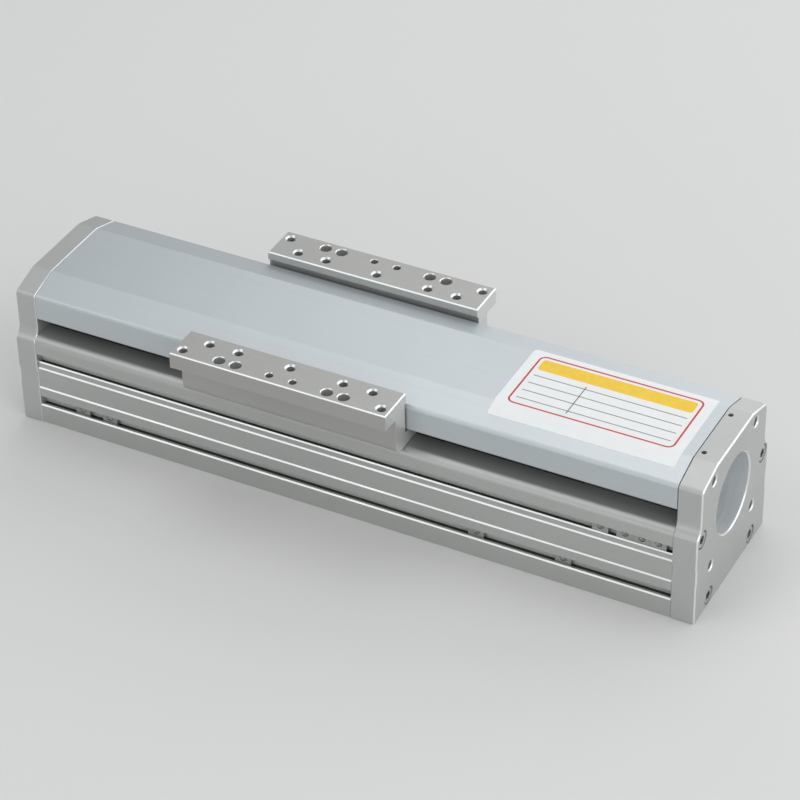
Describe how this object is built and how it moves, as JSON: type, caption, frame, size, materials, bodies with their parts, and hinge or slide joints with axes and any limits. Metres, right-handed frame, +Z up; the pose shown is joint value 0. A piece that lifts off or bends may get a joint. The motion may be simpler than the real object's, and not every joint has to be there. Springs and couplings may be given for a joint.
{
  "type": "covered ball screw linear module",
  "caption": "Long low aluminium linear module: a ball screw under a sloped cover drives a carriage whose two drilled wings straddle the cover; motor seat at one end.",
  "frame": {"origin": "middle of the footprint, on the underside of the base", "axes": "+X along the screw to the motor end, +Y across to the far side, +Z up"},
  "size_m": [0.3516, 0.111, 0.0783],
  "materials": {
    "anodised_profile": "satin anodised",
    "machined_plate": "fine blasted and anodised",
    "ground_steel": "ground",
    "screw_steel": "dark oxide",
    "plated_steel": "zinc plated",
    "moulded_plastic": "matt",
    "bumper_rubber": "matt"
  },
  "bodies": {
    "base": {"base_extrusion": "anodised_profile", "top_cover": "anodised_profile", "motor_end_plate": "machined_plate", "idle_end_plate": "machined_plate", "cover_keys": "plated_steel", "cover_set_screws": "screw_steel", "motor_plate_screws": "screw_steel", "idle_plate_screws": "screw_steel", "guide_rail_near": "ground_steel", "guide_rail_far": "ground_steel", "bearing_outer_rings": "ground_steel", "bearing_retainer": "ground_steel", "end_bumpers": "bumper_rubber", "upper_slot_nuts": "plated_steel", "lower_slot_nuts": "plated_steel"},
    "carriage": {"slider_plate": "machined_plate", "saddle": "machined_plate", "ball_nut": "ground_steel", "guide_block_1": "ground_steel", "guide_block_2": "ground_steel", "guide_block_3": "ground_steel", "guide_block_4": "ground_steel", "block_end_caps_1": "moulded_plastic", "block_end_caps_2": "moulded_plastic", "block_end_caps_3": "moulded_plastic", "block_end_caps_4": "moulded_plastic"},
    "screw": {"ball_screw": "ground_steel", "bearing_lock_nut": "ground_steel", "bearing_inner_rings": "ground_steel"}
  },
  "joints": [
    {"name": "carriage_slide", "type": "slide", "parent": "base", "child": "carriage", "axis": [1, 0, 0], "range_m": [-0.075, 0.075]},
    {"name": "screw_spin", "type": "hinge", "parent": "base", "child": "screw", "pos_m": [0, 0, 0.046], "axis": [1, 0, 0], "range_deg": [-2700.5, 2700.5]}
  ],
  "couplings": [
    {"joint": "screw_spin", "follows": "carriage_slide", "rad_per_m": 628.32}
  ]
}
